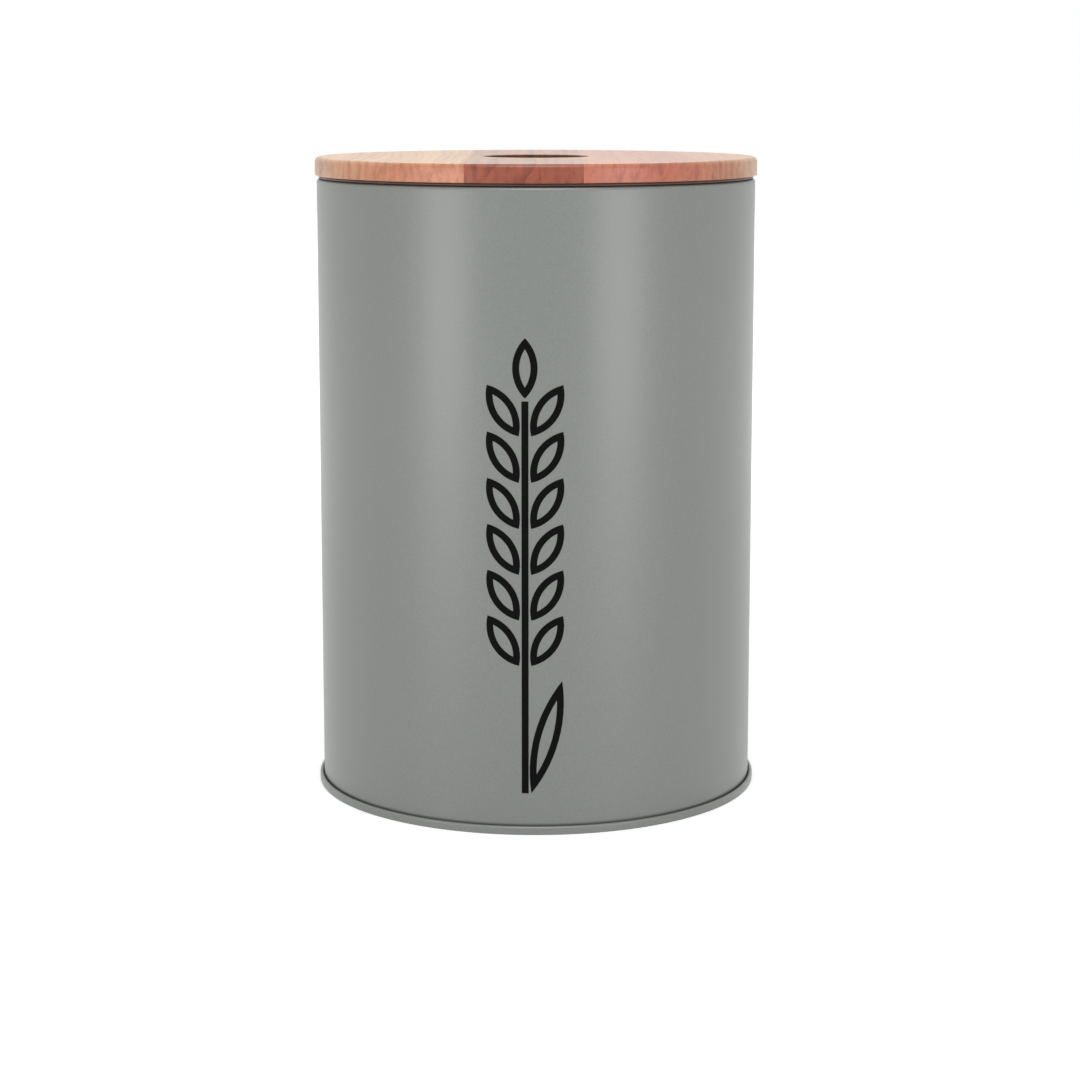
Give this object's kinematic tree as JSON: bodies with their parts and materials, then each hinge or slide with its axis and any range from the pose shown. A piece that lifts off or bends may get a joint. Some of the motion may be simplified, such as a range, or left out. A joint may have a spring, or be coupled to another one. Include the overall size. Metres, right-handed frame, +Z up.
{
  "type": "rice bucket",
  "caption": "Straight round rice bucket of powder-coated sheet steel with a rolled rim, a double-seamed base, and a flat wooden lift-off lid with a finger recess and a seal.",
  "frame": {"origin": "on the floor, under the centre of the base", "axes": "+Z up along the bucket's axis; -Y towards the front; +X to the right seen from the front, across the lid's staves"},
  "size_m": [0.2448, 0.2448, 0.3483],
  "materials": {
    "painted_steel": "matt grey powder coat with a fine grain",
    "wood_light": "oiled, light orange-brown acacia-like wood",
    "wood_middle": "oiled, mid red-brown acacia-like wood",
    "wood_dark": "oiled, dark red-brown acacia-like wood",
    "silicone": "dark smoke-brown silicone",
    "print_ink": "matt black screen print"
  },
  "bodies": {
    "bucket": {"body_shell": "painted_steel", "base_plate": "painted_steel"},
    "lid": {"lid_stave_1": "wood_light", "lid_stave_2": "wood_light", "lid_stave_3": "wood_dark", "lid_stave_4": "wood_middle", "lid_stave_5": "wood_light", "lid_seal": "silicone"}
  },
  "joints": [
    {"name": "lid_lift", "type": "slide", "parent": "bucket", "child": "lid", "axis": [0, 0, 1], "range_m": [0, 0.15]}
  ]
}
